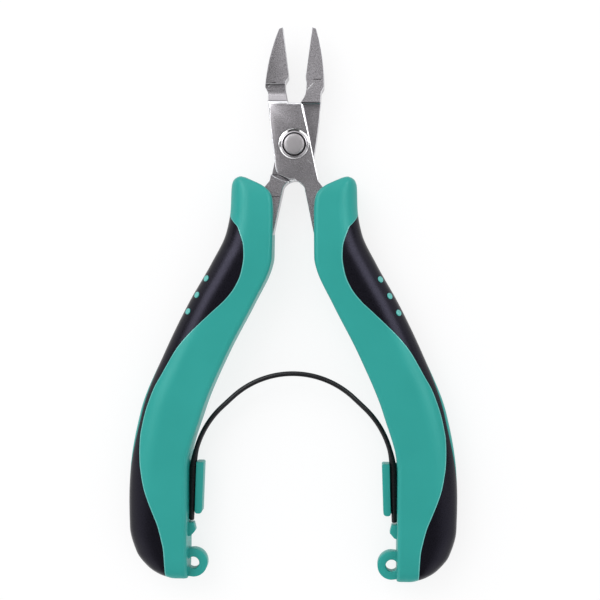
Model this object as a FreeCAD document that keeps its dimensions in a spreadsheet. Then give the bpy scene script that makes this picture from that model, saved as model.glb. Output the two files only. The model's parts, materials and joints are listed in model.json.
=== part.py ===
import FreeCAD, Part
import os
import re

import Sketcher

# Flat nose pliers with a lap joint, two-colour moulded grips and one bow spring
# between the handles. Millimetres. They lie flat: +Y runs to the jaw tips, +Z up,
# and every sketch is drawn about the pivot axis, open as the spring holds them.

doc = FreeCAD.newDocument("FlatNosePliers")
sheet = doc.addObject("Spreadsheet::Sheet", "Sizes")

SIZES = [
    ("front_reach", 27.9, "pivot axis to the jaw tips"),
    ("open_angle", 14.2, "angle between the halves at rest, degrees"),
    # steel halves
    ("lap_thick", 3.2, "thickness of one half in the lap joint"),
    ("lap_gap", 0.04, "running gap between the two laps"),
    ("shoulder_rise", 9.95, "height of the stop shoulder over the pivot"),
    ("stop_gap", 0.1, "gap left at the stop shoulder when open"),
    ("recess_radius", 9.05, "round lower end of the lap recess"),
    ("root_half", 2.45, "half thickness of the jaw at its root"),
    ("tip_half", 1.4, "half thickness of the jaw at its tip"),
    ("step_length", 2.6, "length of the hollow step from lap to jaw"),
    ("step_rise", 10.5, "height where the hollow step begins"),
    # gripping faces and jaw outline
    ("jaw_clearance", 0.1, "gap between the gripping faces when closed"),
    ("jaw_shift", 0.63, "offset of the closing plane from the pivot axis"),
    ("face_low", 16.1, "start of the gripping face"),
    ("face_high", 27.2, "end of the gripping face"),
    ("tip_width", 0.95, "width of the blunt tip"),
    ("tip_round", 0.06, "the tip draws back this far from the gripping face"),
    ("tip_slope", 0.35, "fall of the blunt tip to the outside"),
    ("belly_out", 6.2, "jaw back at mid length"),
    ("belly_rise", 21.0, "height of that point"),
    ("root_out", 7.05, "jaw back at the root"),
    ("root_rise", 13.5, "height of that point"),
    ("throat_out", 2.55, "depth of the throat below the gripping face"),
    ("throat_rise", 13.4, "height of the throat"),
    ("throat_top", 14.6, "upper end of the throat"),
    ("throat_low", 11.5, "height where the throat bends to the lap"),
    ("throat_bow", 0.35, "bow of the throat at that height"),
    ("throat_foot", 1.5, "foot of the throat on the lap plate"),
    # lap plate outline
    ("waist_out", 6.35, "waist beside the lap, upper"),
    ("waist_rise", 12.2, "height of that point"),
    ("side_out", 5.75, "waist beside the lap, middle"),
    ("side_rise", 5.0, "height of that point"),
    ("hip_out", 4.75, "waist beside the lap, lower"),
    ("hip_drop", 2.4, "depth of that point below the pivot"),
    ("corner_set", 0.3, "the lower corner is set in this far"),
    ("corner_drop", 5.4, "depth where the lower corner begins"),
    ("corner_length", 1.9, "height of the lower corner"),
    ("corner_out", 3.6, "end of the lower corner"),
    ("plate_corner", 1.1, "round upper corner of the plate"),
    ("plate_edge_top", 2.25, "long edge of the plate, upper end"),
    ("plate_edge_low", 5.8, "long edge of the plate, lower end"),
    ("plate_low_drop", 8.7, "depth where the plate meets its tang"),
    ("crotch_drop", 8.75, "depth of the crotch between the tangs"),
    ("crotch_out", 0.9, "end of the lower edge of the plate"),
    ("crotch_in", 1.8, "round between plate and tang"),
    ("crotch_fall", 0.65, "fall of that round"),
    # tang, the part that carries the grip
    ("tang_neck_in", 2.55, "inner edge of the tang below the joint"),
    ("tang_neck_drop", 10.4, "depth of that point"),
    ("tang_bow_in", 3.75, "bow of the inner edge between joint and grip"),
    ("tang_bow_drop", 16.0, "depth of that point"),
    ("tang_neck_out", 9.4, "outer edge of the tang under the mouth of the grip"),
    ("tang_neck_out_drop", 13.2, "depth of that point"),
    ("tang_mid_in", 5.6, "inner edge of the tang in the grip"),
    ("tang_mid_drop", 25.0, "depth of that point"),
    ("tang_end_in", 14.6, "inner edge at the end of the tang"),
    ("tang_end_drop", 46.0, "depth of the end of the tang"),
    ("tang_end_width", 4.6, "width of the end of the tang"),
    ("tang_mid_width", 5.6, "width of the tang in the grip"),
    ("tang_end_bevel", 1.5, "slope of the end of the tang"),
    # pivot
    ("pin_radius", 2.5, "pivot pin"),
    ("pin_clearance", 0.03, "running clearance of the pin, on radius"),
    ("cup_radius", 3.75, "counterbore in the face of each half"),
    ("cup_depth", 0.9, "depth of the counterbore"),
    ("cup_clearance", 0.06, "clearance round what sits in a counterbore"),
    ("groove_radius", 2.15, "groove that holds the ring on the pin"),
    ("ring_floor", 0.3, "thickness of the ring in its groove"),
    ("ring_land", 2.8, "inner edge of the dished face of the ring"),
    ("ring_rim", 0.1, "flat rim of the ring"),
    ("button_rise", 0.15, "the pin stands this far over the face"),
    ("button_chamfer", 0.3, "chamfer round the button"),
    # grips
    ("roundness", 0.42, "corner radius of a section, as a part of its smaller side"),
    ("skin", 1.5, "thickness of the black overmould"),
    ("spine_rise", 4.0, "the green spine in the overmould starts this far above the middle"),
    ("spine_length", 41.0, "length of the green spine"),
    ("spine_half", 2.7, "half width of the green spine"),
    ("stud_radius", 1.0, "stud that shows through the overmould"),
    ("stud_rise", 0.25, "the stud stands this far over the overmould"),
    ("stud_below", 5.2, "foot of the first stud, below the knee section"),
    ("stud_set_in", 2.1, "foot of the first stud, in from the outer edge of that section"),
    ("stud_side", 0.93, "foot of the studs, to each side of half thickness"),
    ("stud_pitch", 4.5, "distance between studs"),
    ("stud_reach", 4.65, "length of a stud up to the flank"),
    ("flank_slope", 28.5, "slope of the flank beside the studs, degrees"),
    ("stud_tilt", 25.0, "tilt of each row from the middle, degrees"),
    # spring and its seats on the grips
    ("wire_radius", 0.6, "bow spring wire"),
    ("bow_height", 36.0, "the bow stands this far over the ends of the wire"),
    ("bow_half_angle", 43.0, "half of the arc at the top of the bow, degrees"),
    ("bow_straight", 3.4, "straight run between the top arc and a side arc"),
    ("seat_run", 12.2, "straight end of the wire, in its seat on the grip"),
    ("wire_lean", 1.0, "lean of the ends of the wire, degrees"),
    ("wire_end_rise", 13.2, "the wire ends this far above the ends of the grips"),
    ("seat_play", 0.15, "play between the wire and the grip"),
    ("channel_width", 1.8, "width of the channel for the wire"),
    ("channel_floor", 0.1, "play under the wire in its channel"),
    ("clip_wall", 1.9, "thickness of the clip beside the channel"),
    ("clip_rise", 14.6, "the clip starts this far above the ends of the wire"),
    ("clip_length", 12.5, "length of the clip"),
    ("clip_back", 2.8, "the clip reaches this far behind the middle"),
    ("clip_front", 1.6, "the clip reaches this far before the middle"),
    ("lug_gap", 0.2, "gap between the end of the wire and its stop"),
    ("lug_length", 3.2, "length of the stop"),
    ("lug_out", 1.7, "the stop stands this far from the grip"),
    ("lug_half", 1.5, "half thickness of the stop"),
    # lanyard eye
    ("eye_radius", 3.4, "outside of the lanyard eye"),
    ("eye_hole", 1.45, "hole of the lanyard eye"),
    ("eye_half", 1.6, "half thickness of the lanyard eye"),
    ("eye_out", 1.2, "middle of the eye, out from the grip"),
    ("root_depth", 1.2, "how deep clip, stop and eye root in the grip"),
]

# Sections of the grip: name, depth below the section before it (the first: below the pivot),
# inner edge, outer edge, half thickness. A word takes the value of that other size.
STATIONS = [
    ("cap", 7.7, 11.3, 13.9, 3.3),
    ("brow", 1.6, 8.6, 15.0, 4.5),
    ("neck", 2.7, 5.2, 15.15, 5.1),
    ("collar", 4.0, 4.95, 15.25, 5.4),
    ("hollow", 5.0, 4.95, 16.2, 5.6),
    ("knee", 7.5, 5.1, 19.8, 5.8),
    ("shank", 9.5, 9.3, 25.2, "knee_half"),
    ("middle", 12.0, 15.7, 31.0, "knee_half"),
    ("palm", 14.0, 21.6, 36.7, "knee_half"),
    ("bulge", 14.0, 25.1, 39.15, "knee_half"),
    ("heel", 14.0, "bulge_in", 39.35, "knee_half"),
    ("foot", 6.0, "bulge_in", 37.9, 5.6),
    ("sole", 3.6, "bulge_in", 34.9, 5.0),
    ("end", 2.5, "bulge_in", 30.5, 3.6),
]

# The line between the two colours on the faces of the grip: name of the point, its section,
# how far below that section, how far out from its inner edge
COLOUR_LINE = [
    ("mouth", "collar", -0.4, 10.65),
    ("dip", "knee", -1.9, 6.6),
    ("climb", "shank", 0.6, 8.4),
    ("turn", "shank", 4.4, 12.4),
    ("bend", "shank", 8.0, 16.2),
    ("sweep", "palm", -6.0, 11.4),
    ("crest", "bulge", -5.0, 11.4),
    ("fall", "bulge", 4.6, 10.2),
    ("ebb", "heel", -1.3, 7.1),
    ("tail", "foot", -1.0, 5.6),
    ("outlet", "end", 1.9, 5.1),
]

# The kernel under the overmould leaves out the sections that round the ends of the grip
END_ROUNDING = ("cap", "brow", "sole")
STUDS_IN_A_ROW = 3


def formula(value):
    return "=" + value if isinstance(value, str) else value


def fill_sheet():
    rows = list(SIZES)
    above = None
    for name, step, inner, outer, half in STATIONS:
        part = "section " + name
        depth = name + "_step" if above is None else above + "_drop + " + name + "_step"
        rows.append((name + "_step", step, part + ", depth below the one before"))
        rows.append((name + "_drop", depth, part + ", depth below the pivot"))
        rows.append((name + "_in", inner, part + ", inner edge"))
        rows.append((name + "_out", outer, part + ", outer edge"))
        rows.append((name + "_half", half, part + ", half thickness"))
        above = name
    for name, section, below, out in COLOUR_LINE:
        rows.append((name + "_below", below, "colour line, below section " + section))
        rows.append((name + "_out", out, "colour line, out from its inner edge"))
    for row, (alias, value, note) in enumerate(rows, start=1):
        sheet.set("A%d" % row, alias)
        sheet.setAlias("B%d" % row, alias)
        sheet.set("C%d" % row, note)
    for row, (alias, value, note) in enumerate(rows, start=1):
        sheet.set("B%d" % row, str(formula(value)))
    return {alias for alias, value, note in rows}


ALIASES = fill_sheet()
doc.recompute()


def bound(text):
    """An expression with each size read from the sheet."""
    return re.sub(r"[a-z][a-z_]*", lambda word: "Sizes." + word.group(0)
                  if word.group(0) in ALIASES else word.group(0), str(text))


def size(text):
    """The value of an expression of sizes."""
    found = sheet.evalExpression(bound(text))
    return float(getattr(found, "Value", found))


PIVOT_Y = "(end_drop - front_reach) / 2"
MID_Z = "knee_half"
HALF_ANGLE = "(open_angle / 2)"
FAR_OUT = "2 * heel_out"
WIRE_END = "(end_drop - wire_end_rise)"
BOW_TOP = "(end_drop - wire_end_rise - bow_height)"
WIRE_OUT = "(heel_in - seat_play - wire_radius)"


def place_on_pivot(thing):
    """The thing's own origin goes to the pivot axis, at half thickness."""
    thing.setExpression("Placement.Base.y", bound(PIVOT_Y))
    thing.setExpression("Placement.Base.z", bound(MID_Z))


def new_body(label):
    body = doc.addObject("PartDesign::Body", label)
    body.Label = label
    place_on_pivot(body)
    return body


def plane_of(body, role):
    return [item for item in body.Origin.OriginFeatures if item.Role == role][0]


def new_sketch(body, name, role, lift=None):
    sketch = body.newObject("Sketcher::SketchObject", name)
    sketch.AttachmentSupport = (plane_of(body, role), "")
    sketch.MapMode = "FlatFace"
    if lift is not None:
        sketch.setExpression("AttachmentOffset.Base.z", bound(lift))
    return sketch


def pin_point(sketch, geometry, place, point):
    """Ties a point of the sketch to its two sizes."""
    for kind, text in (("DistanceX", point[0]), ("DistanceY", point[1])):
        value = size(text)
        index = sketch.addConstraint(Sketcher.Constraint(kind, -1, 1, geometry, place, value))
        sketch.setExpression("Constraints[%d]" % index, bound(text))


def ends_in_order(sketch, geometry, start):
    """Which end of the geometry is its start: an arc always runs anticlockwise."""
    if sketch.getPoint(geometry, 1).distanceToPoint(start) < 1e-6:
        return 1, 2
    return 2, 1


def draw_loop(sketch, steps):
    """A closed outline. A step is (x, y), or (x, y, via x, via y) for an arc to that point."""
    corners = [FreeCAD.Vector(size(step[0]), size(step[1]), 0) for step in steps]
    pieces = []
    for number, step in enumerate(steps):
        start = corners[number - 1]
        end = corners[number]
        if len(step) == 4:
            via = FreeCAD.Vector(size(step[2]), size(step[3]), 0)
            geometry = sketch.addGeometry(Part.Arc(start, via, end))
            mark = sketch.addGeometry(Part.Point(via), True)
            sketch.addConstraint(Sketcher.Constraint("PointOnObject", mark, 1, geometry))
            pin_point(sketch, mark, 1, step[2:])
        else:
            geometry = sketch.addGeometry(Part.LineSegment(start, end))
        pieces.append((geometry, ends_in_order(sketch, geometry, start)))
    for number, step in enumerate(steps):
        geometry, places = pieces[number - 1]
        after, after_places = pieces[number]
        sketch.addConstraint(
            Sketcher.Constraint("Coincident", geometry, places[1], after, after_places[0]))
        geometry, places = pieces[number]
        pin_point(sketch, geometry, places[1], step[:2])


def draw_circle(sketch, x, y, radius):
    centre = FreeCAD.Vector(size(x), size(y), 0)
    circle = Part.Circle(centre, FreeCAD.Vector(0, 0, 1), size(radius))
    geometry = sketch.addGeometry(circle)
    pin_point(sketch, geometry, 3, (x, y))
    index = sketch.addConstraint(Sketcher.Constraint("Radius", geometry, size(radius)))
    sketch.setExpression("Constraints[%d]" % index, bound(radius))


def pad(body, sketch, length, both_ways=True):
    feature = body.newObject("PartDesign::Pad", sketch.Name + "_pad")
    feature.Profile = sketch
    feature.Midplane = both_ways
    feature.setExpression("Length", bound(length))
    return feature


def pocket(body, sketch, length=None, both_ways=False, upward=False):
    feature = body.newObject("PartDesign::Pocket", sketch.Name + "_cut")
    feature.Profile = sketch
    feature.Midplane = both_ways
    feature.Reversed = upward
    if length is None:
        feature.Type = "ThroughAll"
    else:
        feature.setExpression("Length", bound(length))
    return feature


def steel_half(label, shift, bore):
    """One forging: jaw, lap plate and tang. Its lap is the upper one, its jaw at -X."""
    body = new_body(label)
    face = "(%s - jaw_clearance / 2)" % shift

    def on_face(run):
        across = "%s * cos%s - %s * sin%s" % (face, HALF_ANGLE, run, HALF_ANGLE)
        along = "%s * sin%s + %s * cos%s" % (face, HALF_ANGLE, run, HALF_ANGLE)
        return across, along

    low_x, low_y = on_face("face_low")
    high_x, high_y = on_face("face_high")
    throat = "-throat_out + %s / 2" % shift
    plate_top = "shoulder_rise - stop_gap"
    outline = new_sketch(body, label + "_outline", "XY_Plane")
    draw_loop(outline, [
        (high_x, high_y),
        (high_x + " - tip_round", "front_reach"),
        (high_x + " - tip_round - tip_width", "front_reach - tip_slope"),
        ("-root_out", "root_rise", "-belly_out + %s / 2" % shift, "belly_rise"),
        ("-waist_out", "waist_rise"),
        ("-hip_out", "-hip_drop", "-side_out", "side_rise"),
        ("-hip_out + corner_set", "-corner_drop"),
        ("-corner_out", "-corner_drop - corner_length",
         "-hip_out + corner_set + 0.2", "-corner_drop - corner_length / 2"),
        ("-crotch_out", "-crotch_drop"),
        ("tang_neck_in", "-tang_neck_drop", "crotch_in", "-crotch_drop - crotch_fall"),
        ("tang_mid_in", "-tang_mid_drop", "tang_bow_in", "-tang_bow_drop"),
        ("tang_end_in", "-tang_end_drop"),
        ("tang_end_in + tang_end_width", "-tang_end_drop + tang_end_bevel"),
        ("tang_mid_in + tang_mid_width", "-tang_mid_drop"),
        ("tang_neck_out", "-tang_neck_out_drop"),
        ("plate_edge_low", "-plate_low_drop"),
        ("plate_edge_top", plate_top + " - plate_corner"),
        ("plate_edge_top - plate_corner", plate_top,
         "plate_edge_top - plate_corner * 0.25", plate_top + " - plate_corner * 0.25"),
        ("-throat_foot", plate_top),
        (throat, "throat_rise", throat + " + throat_bow", "throat_low"),
        (throat, "throat_top"),
        (low_x, low_y),
    ])
    pad(body, outline, "2 * lap_thick")

    recess = new_sketch(body, label + "_recess", "XY_Plane", "lap_gap / 2")
    draw_loop(recess, [
        ("recess_radius", "shoulder_rise"),
        ("-recess_radius", "shoulder_rise"),
        ("-recess_radius", 0),
        ("recess_radius", 0, 0, "-recess_radius"),
    ])
    pocket(body, recess)

    taper = new_sketch(body, label + "_taper", "YZ_Plane")
    for sign in ("", "-"):
        bottom = [("step_rise", sign + "(lap_thick + 1)"),
                  ("step_rise", sign + "lap_thick"),
                  ("step_rise + step_length", sign + "root_half",
                   "step_rise + step_length * 0.3",
                   sign + "(root_half + (lap_thick - root_half) * 0.45)"),
                  ("front_reach + 1", sign + "tip_half"),
                  ("front_reach + 1", sign + "(lap_thick + 1)")]
        draw_loop(taper, bottom)
    pocket(body, taper, both_ways=True)

    cup = new_sketch(body, label + "_cup", "XY_Plane", "lap_thick")
    draw_circle(cup, 0, 0, "cup_radius")
    pocket(body, cup, "cup_depth")
    hole = new_sketch(body, label + "_bore", "XY_Plane", "lap_thick")
    draw_circle(hole, 0, 0, bore)
    pocket(body, hole)
    return body


RING_SEAT = "(lap_thick - cup_depth + cup_clearance)"
CUP_FIT = "(cup_radius - cup_clearance)"


def turned(label, steps):
    """A turned piece: its outline (radius, height) goes once round the pivot axis."""
    body = new_body(label)
    sketch = new_sketch(body, label + "_outline", "XZ_Plane")
    draw_loop(sketch, steps)
    turn = body.newObject("PartDesign::Revolution", label + "_turn")
    turn.Profile = sketch
    turn.ReferenceAxis = (sketch, ["V_Axis"])
    turn.Angle = 360
    return body


def pivot_pin():
    return turned("pivot_pin", [
        (CUP_FIT + " - button_chamfer", "-lap_thick"),
        (CUP_FIT, "-lap_thick + button_chamfer"),
        (CUP_FIT, "-lap_thick + cup_depth"),
        ("pin_radius", "-lap_thick + cup_depth"),
        ("pin_radius", RING_SEAT),
        ("groove_radius", RING_SEAT),
        ("groove_radius", RING_SEAT + " + ring_floor"),
        ("pin_radius", RING_SEAT + " + ring_floor"),
        ("pin_radius", "lap_thick + button_rise - button_chamfer"),
        ("pin_radius - button_chamfer", "lap_thick + button_rise"),
        (0, "lap_thick + button_rise"),
        (0, "-lap_thick"),
    ])


def pivot_ring():
    return turned("pivot_ring", [
        (CUP_FIT, RING_SEAT),
        (CUP_FIT, "lap_thick"),
        (CUP_FIT + " - ring_rim", "lap_thick"),
        ("ring_land", RING_SEAT + " + ring_floor"),
        ("groove_radius", RING_SEAT + " + ring_floor"),
        ("groove_radius", RING_SEAT),
    ])


def section_steps(name, inset):
    """A rounded section of the grip, drawn in from the surface by the inset."""
    inner = "(%s_in + %s)" % (name, inset)
    outer = "(%s_out - %s)" % (name, inset)
    half = "(%s_half - %s)" % (name, inset)
    corner = "(roundness * min(%s - %s; 2 * %s))" % (outer, inner, half)
    mid = "%s * (1 - cos(45))" % corner
    return [
        ("%s - %s" % (outer, corner), "-%s" % half),
        (outer, "-%s + %s" % (half, corner), "%s - %s" % (outer, mid), "-%s + %s" % (half, mid)),
        (outer, "%s - %s" % (half, corner)),
        ("%s - %s" % (outer, corner), half, "%s - %s" % (outer, mid), "%s - %s" % (half, mid)),
        ("%s + %s" % (inner, corner), half),
        (inner, "%s - %s" % (half, corner), "%s + %s" % (inner, mid), "%s - %s" % (half, mid)),
        (inner, "-%s + %s" % (half, corner)),
        ("%s + %s" % (inner, corner), "-%s" % half,
         "%s + %s" % (inner, mid), "-%s + %s" % (half, mid)),
    ]


def grip_form(label, names, inset):
    """The rounded form of a grip, lofted through its sections from top to bottom."""
    body = new_body(label)
    sketches = []
    for name in names:
        drop = name + "_drop"
        if inset != "0" and name == names[-1]:
            drop = "%s - %s" % (drop, inset)
        sketch = new_sketch(body, label + "_" + name, "XZ_Plane", drop)
        draw_loop(sketch, section_steps(name, inset))
        sketches.append(sketch)
    loft = body.newObject("PartDesign::AdditiveLoft", label + "_loft")
    loft.Profile = sketches[0]
    loft.Sections = sketches[1:]
    return body


def pad_region():
    """Everything outside the line between the two colours, through the whole thickness."""
    body = new_body("pad_region")
    sketch = new_sketch(body, "pad_region_outline", "XY_Plane")
    spots = [("%s_in + %s_out" % (section, name), "-(%s_drop + %s_below)" % (section, name))
             for name, section, below, out in COLOUR_LINE]
    start, end = spots[0], spots[-1]
    loop = [arc_end + via for via, arc_end in zip(spots[1::2], spots[2::2])]
    loop.append((FAR_OUT, end[1]))
    loop.append((FAR_OUT, start[1]))
    loop.append(start)
    draw_loop(sketch, loop)
    pad(body, sketch, "4 * knee_half")
    return body


def spine_region():
    """The pointed window in the overmould where the core forms the back of the grip."""
    body = new_body("spine_region")
    sketch = new_sketch(body, "spine_region_outline", "YZ_Plane")
    top = "-middle_drop + spine_rise"
    middle = top + " - spine_length / 2"
    draw_loop(sketch, [
        (top + " - spine_length", 0, middle, "spine_half"),
        (top, 0, middle, "-spine_half"),
    ])
    pad(body, sketch, FAR_OUT, both_ways=False)
    return body


def boolean(kind, label, *shapes):
    thing = doc.addObject("Part::" + kind, label)
    thing.Label = label
    if kind == "Cut":
        thing.Base, thing.Tool = shapes
    else:
        thing.Shapes = list(shapes)
    return thing


def studs():
    """Two rows of round studs that stand on the flank."""
    row = []
    for side in (1, -1):
        for number in range(STUDS_IN_A_ROW):
            stud = doc.addObject("Part::Cylinder", "stud")
            stud.setExpression("Radius", bound("stud_radius"))
            stud.setExpression("Height", bound("stud_reach + stud_rise"))
            along = "%d * stud_pitch" % number
            stud.setExpression("Placement.Base.x", bound(
                "knee_out - stud_set_in + %s * sin(flank_slope)" % along))
            stud.setExpression("Placement.Base.y", bound(
                "%s - knee_drop - stud_below - %s * cos(flank_slope)" % (PIVOT_Y, along)))
            stud.setExpression("Placement.Base.z", bound("%s + %d * stud_side" % (MID_Z, side)))
            outward = FreeCAD.Rotation(FreeCAD.Vector(0, 0, 1), FreeCAD.Vector(
                size("cos(flank_slope) * cos(stud_tilt)"),
                size("sin(flank_slope) * cos(stud_tilt)"),
                side * size("sin(stud_tilt)")))
            stud.Placement = FreeCAD.Placement(stud.Placement.Base, outward)
            row.append(stud)
    return row


CHANNEL_SIDE = "(heel_in - channel_width)"


def spring_clip():
    """The wall beside the channel and the web behind it, which holds the wire's end."""
    body = new_body("spring_clip")
    sketch = new_sketch(body, "spring_clip_section", "XZ_Plane", WIRE_END + " - clip_rise")
    floor = "-wire_radius - channel_floor"
    draw_loop(sketch, [
        ("heel_in + root_depth", "-clip_back"),
        ("heel_in + root_depth", floor),
        (CHANNEL_SIDE, floor),
        (CHANNEL_SIDE, "clip_front"),
        (CHANNEL_SIDE + " - clip_wall", "clip_front"),
        (CHANNEL_SIDE + " - clip_wall", "-clip_back"),
    ])
    pad(body, sketch, "clip_length", both_ways=False)
    return body


def wire_stop():
    """The small wedge under the end of the wire."""
    body = new_body("wire_stop")
    sketch = new_sketch(body, "wire_stop_outline", "XY_Plane")
    top = "-%s - lug_gap" % WIRE_END
    draw_loop(sketch, [
        ("heel_in - lug_out * 0.75", top),
        ("heel_in - lug_out", top + " - lug_length * 0.75"),
        ("heel_in - lug_out * 0.5", top + " - lug_length"),
        ("heel_in + root_depth", top + " - lug_length"),
        ("heel_in + root_depth", top),
    ])
    pad(body, sketch, "2 * lug_half")
    return body


def lanyard_eye():
    """The lug at the end of the grip. Its hole is cut later, through the grip as well."""
    body = new_body("lanyard_eye")
    sketch = new_sketch(body, "lanyard_eye_outline", "XY_Plane")
    middle = "heel_in - eye_out"
    draw_loop(sketch, [
        (middle, "-end_drop", middle + " - eye_radius", "-end_drop + eye_radius"),
        ("heel_in + root_depth", "-end_drop"),
        ("heel_in + root_depth", "-end_drop + 2 * eye_radius"),
        (middle, "-end_drop + 2 * eye_radius"),
    ])
    pad(body, sketch, "2 * eye_half")
    return body


def eye_hole():
    hole = doc.addObject("Part::Cylinder", "eye_hole")
    hole.setExpression("Radius", bound("eye_hole"))
    hole.setExpression("Height", bound("4 * knee_half"))
    hole.setExpression("Placement.Base.x", bound("heel_in - eye_out"))
    hole.setExpression("Placement.Base.y", bound(PIVOT_Y + " - end_drop + eye_radius"))
    hole.setExpression("Placement.Base.z", bound("-knee_half"))
    return hole


def mirrored(label, source):
    twin = doc.addObject("Part::Mirroring", label)
    twin.Label = label
    twin.Source = source
    twin.Base = (0, 0, 0)
    twin.Normal = (1, 0, 0)
    return twin


def grips(tang):
    """Core and overmould of the right grip, and the left pair as their mirror image."""
    names = [row[0] for row in STATIONS]
    form = grip_form("grip_form", names, "0")
    kernel_names = [name for name in names if name not in END_ROUNDING]
    kernel = grip_form("grip_kernel", kernel_names, "skin")
    outside = boolean("Cut", "outside_kernel", pad_region(), kernel)
    mould = boolean("Cut", "mould_space", outside, spine_region())
    row = studs()
    stud_set = boolean("MultiFuse", "stud_set", *row)
    pad_blank = boolean("MultiCommon", "pad_blank", form, mould)
    right_pad = boolean("Cut", "right_grip_pad", pad_blank, stud_set)
    core_blank = boolean("Cut", "core_blank", form, mould)
    core_full = boolean("MultiFuse", "core_full", core_blank, stud_set,
                        spring_clip(), wire_stop(), lanyard_eye())
    core_open = boolean("Cut", "core_open", core_full, eye_hole())
    right_core = boolean("Cut", "right_grip_core", core_open, tang)
    return [right_core, right_pad,
            mirrored("left_grip_core", right_core), mirrored("left_grip_pad", right_pad)]


def wire_path():
    """The bow from one end to the other: straight, side arc, straight, top arc, and back."""
    middle = FreeCAD.Vector(0, size(PIVOT_Y), size(MID_Z))

    def point(x, drop):
        return middle + FreeCAD.Vector(x, -drop, 0)

    def on_arc(centre, radius, angle):
        return (size("%s + %s * sin(%s)" % (centre[0], radius, angle)),
                size("%s - %s * cos(%s)" % (centre[1], radius, angle)))

    # The two arcs together reach as far out and down as the seats of the wire ask for
    out = size(WIRE_OUT + " - seat_run * tan(wire_lean) - bow_straight * cos(bow_half_angle)")
    down = size("bow_height - seat_run - bow_straight * sin(bow_half_angle)")
    top_out = size("sin(bow_half_angle)")
    top_down = size("1 - cos(bow_half_angle)")
    side_out = size("cos(wire_lean) - sin(bow_half_angle)")
    side_down = size("cos(bow_half_angle) - sin(wire_lean)")
    scale = top_out * side_down - side_out * top_down
    bow_radius = (out * side_down - side_out * down) / scale
    side_radius = (top_out * down - top_down * out) / scale
    print("bow radius %.2f, side radius %.2f" % (bow_radius, side_radius))

    top = (0, "%s + %s" % (BOW_TOP, bow_radius))
    bow_end = on_arc(top, bow_radius, "bow_half_angle")
    side_start = (bow_end[0] + size("bow_straight * cos(bow_half_angle)"),
                  bow_end[1] + size("bow_straight * sin(bow_half_angle)"))
    side = (side_start[0] - side_radius * top_out,
            side_start[1] + side_radius * size("cos(bow_half_angle)"))
    side_mid = on_arc(side, side_radius, "(bow_half_angle + 90 - wire_lean) / 2")
    side_end = on_arc(side, side_radius, "90 - wire_lean")
    end = (size(WIRE_OUT), size(WIRE_END))
    left = [(-x, drop) for x, drop in (end, side_end, side_mid, side_start, bow_end)]
    l_end, l_side_end, l_side_mid, l_side_start, l_bow_end = [point(*spot) for spot in left]
    edges = [
        Part.LineSegment(l_end, l_side_end),
        Part.Arc(l_side_end, l_side_mid, l_side_start),
        Part.LineSegment(l_side_start, l_bow_end),
        Part.Arc(l_bow_end, point(0, size(BOW_TOP)), point(*bow_end)),
        Part.LineSegment(point(*bow_end), point(*side_start)),
        Part.Arc(point(*side_start), point(*side_mid), point(*side_end)),
        Part.LineSegment(point(*side_end), point(*end)),
    ]
    return Part.Wire([edge.toShape() for edge in edges]), l_end, l_side_end - l_end


def return_spring():
    path, start, direction = wire_path()
    circle = Part.Circle(start, direction, size("wire_radius"))
    wire = Part.Wire([circle.toShape()])
    spring = doc.addObject("Part::Feature", "return_spring")
    spring.Label = "return_spring"
    spring.Shape = path.makePipeShell([wire], True, False)
    full = Part.Face(wire).Area * path.Length
    print("spring volume", round(spring.Shape.Volume, 2), "section times length", round(full, 2))
    return spring


front = steel_half("front_half", "jaw_shift", "pin_radius + pin_clearance")
back = steel_half("back_half", "(-jaw_shift)", "pin_radius")
doc.recompute()
back.Placement.Rotation = FreeCAD.Rotation(FreeCAD.Vector(0, 1, 0), 180)
pieces = [front, back, pivot_pin(), pivot_ring()] + grips(front) + [return_spring()]
doc.recompute()

faults = [item.Name for item in doc.Objects
          if "Invalid" in item.State or "Error" in item.State]
if faults:
    raise SystemExit("failed: " + ", ".join(faults))
os.makedirs("parts", exist_ok=True)
for piece in pieces:
    shape = piece.Shape
    if shape.isNull() or not shape.isValid() or not shape.Solids:
        raise SystemExit("bad shape: " + piece.Label)
    box = shape.BoundBox
    print("%-18s solids %d  volume %8.1f mm3  x %.2f..%.2f  y %.2f..%.2f  z %.2f..%.2f" % (
        piece.Label, len(shape.Solids), shape.Volume,
        box.XMin, box.XMax, box.YMin, box.YMax, box.ZMin, box.ZMax))
for piece in pieces:
    piece.Shape.exportStep("parts/%s.step" % piece.Label)
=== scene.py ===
import json
import math

import bmesh
import bpy
from mathutils import Matrix, Vector


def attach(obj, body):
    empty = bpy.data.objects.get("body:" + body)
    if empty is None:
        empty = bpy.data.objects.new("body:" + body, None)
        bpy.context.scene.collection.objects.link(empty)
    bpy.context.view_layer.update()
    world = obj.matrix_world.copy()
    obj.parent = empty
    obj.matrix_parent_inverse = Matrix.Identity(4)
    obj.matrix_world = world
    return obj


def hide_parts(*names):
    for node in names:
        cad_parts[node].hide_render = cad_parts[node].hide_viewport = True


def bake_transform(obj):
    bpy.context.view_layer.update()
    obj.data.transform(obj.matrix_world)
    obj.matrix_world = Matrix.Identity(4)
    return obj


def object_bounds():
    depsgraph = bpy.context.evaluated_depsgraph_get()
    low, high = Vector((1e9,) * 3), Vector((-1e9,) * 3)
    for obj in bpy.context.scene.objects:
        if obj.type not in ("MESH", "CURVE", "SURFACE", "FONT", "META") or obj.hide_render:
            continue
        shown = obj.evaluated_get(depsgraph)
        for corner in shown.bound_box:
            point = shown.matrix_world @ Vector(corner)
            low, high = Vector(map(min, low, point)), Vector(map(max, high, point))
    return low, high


# Flat nose pliers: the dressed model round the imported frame. Lengths here are millimetres
# until they reach a mesh; +Y runs to the jaw tips and +Z up from the floor.

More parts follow.
